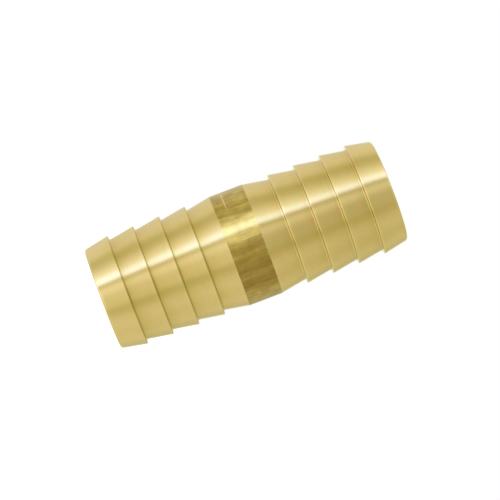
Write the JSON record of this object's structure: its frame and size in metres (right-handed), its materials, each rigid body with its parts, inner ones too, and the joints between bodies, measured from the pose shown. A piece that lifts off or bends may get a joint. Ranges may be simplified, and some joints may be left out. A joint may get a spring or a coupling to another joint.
{
  "type": "hose mender",
  "caption": "Straight brass hose mender turned from bar: a barbed tail at each end, a band of bare bar between them and a bore right through.",
  "frame": {"origin": "middle of the end face that the mender stands on", "axes": "+Z along the bore, from the end that it stands on to the upper end; X and Y are alike"},
  "size_m": [0.0206, 0.0206, 0.0545],
  "materials": {
    "turned_brass": "turned, with fine rings round the tails, and a duller band of bare drawn bar in the middle"
  },
  "bodies": {
    "root": {"mender_body": "turned_brass"}
  },
  "joints": []
}
